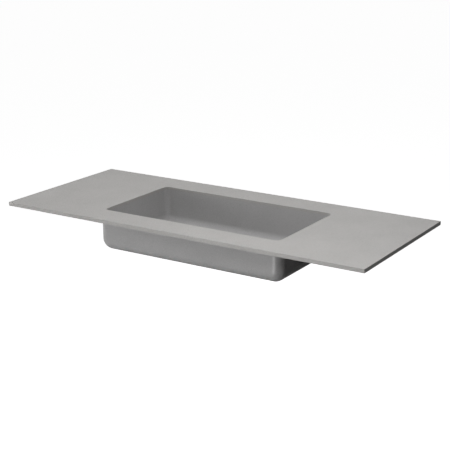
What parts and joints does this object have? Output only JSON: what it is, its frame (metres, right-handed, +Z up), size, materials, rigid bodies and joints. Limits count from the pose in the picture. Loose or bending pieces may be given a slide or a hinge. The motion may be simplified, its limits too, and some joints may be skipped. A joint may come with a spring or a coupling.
{
  "type": "washbasin",
  "caption": "Wide, thin rectangular vanity top in grey stone composite, with a rectangular undermounted bowl in its middle and a press-to-open drain in the bowl's floor.",
  "frame": {"origin": "middle of the sheet's back edge, on the seat plane, which is the sheet's underside", "axes": "+X to the right along the wall as a user sees it, +Y back into the wall, +Z up"},
  "size_m": [1.2, 0.51, 0.1676],
  "materials": {
    "sheet_composite": "satin",
    "bowl_composite": "satin",
    "adhesive": "matte",
    "brass": "satin",
    "stainless": "satin",
    "chrome": "polished",
    "black_rubber": "matte",
    "white_plastic": "satin"
  },
  "bodies": {
    "basin": {"top_slab": "sheet_composite", "bowl": "bowl_composite", "bowl_adhesive": "adhesive", "threaded_inserts": "brass", "flange_washers": "stainless", "flange_screws": "stainless", "waste_body": "chrome", "flange_seal": "black_rubber", "lower_seal": "black_rubber", "slip_washer": "white_plastic", "lock_nut": "brass", "cartridge_housing": "brass", "cartridge_nut": "brass", "cartridge_spring": "stainless"},
    "plug": {"plug_cap": "chrome", "plug_seal": "black_rubber", "plunger": "brass"},
    "latch": {"latch_ring": "white_plastic"}
  },
  "joints": [
    {"name": "plug_lift", "type": "slide", "parent": "basin", "child": "plug", "axis": [0, 0, 1], "range_m": [0, 0.009], "deforming": ["cartridge_spring"]},
    {"name": "latch_turn", "type": "hinge", "parent": "plug", "child": "latch", "pos_m": [0, -0.257, -0.1301], "axis": [0, 0, 1], "continuous": true}
  ]
}
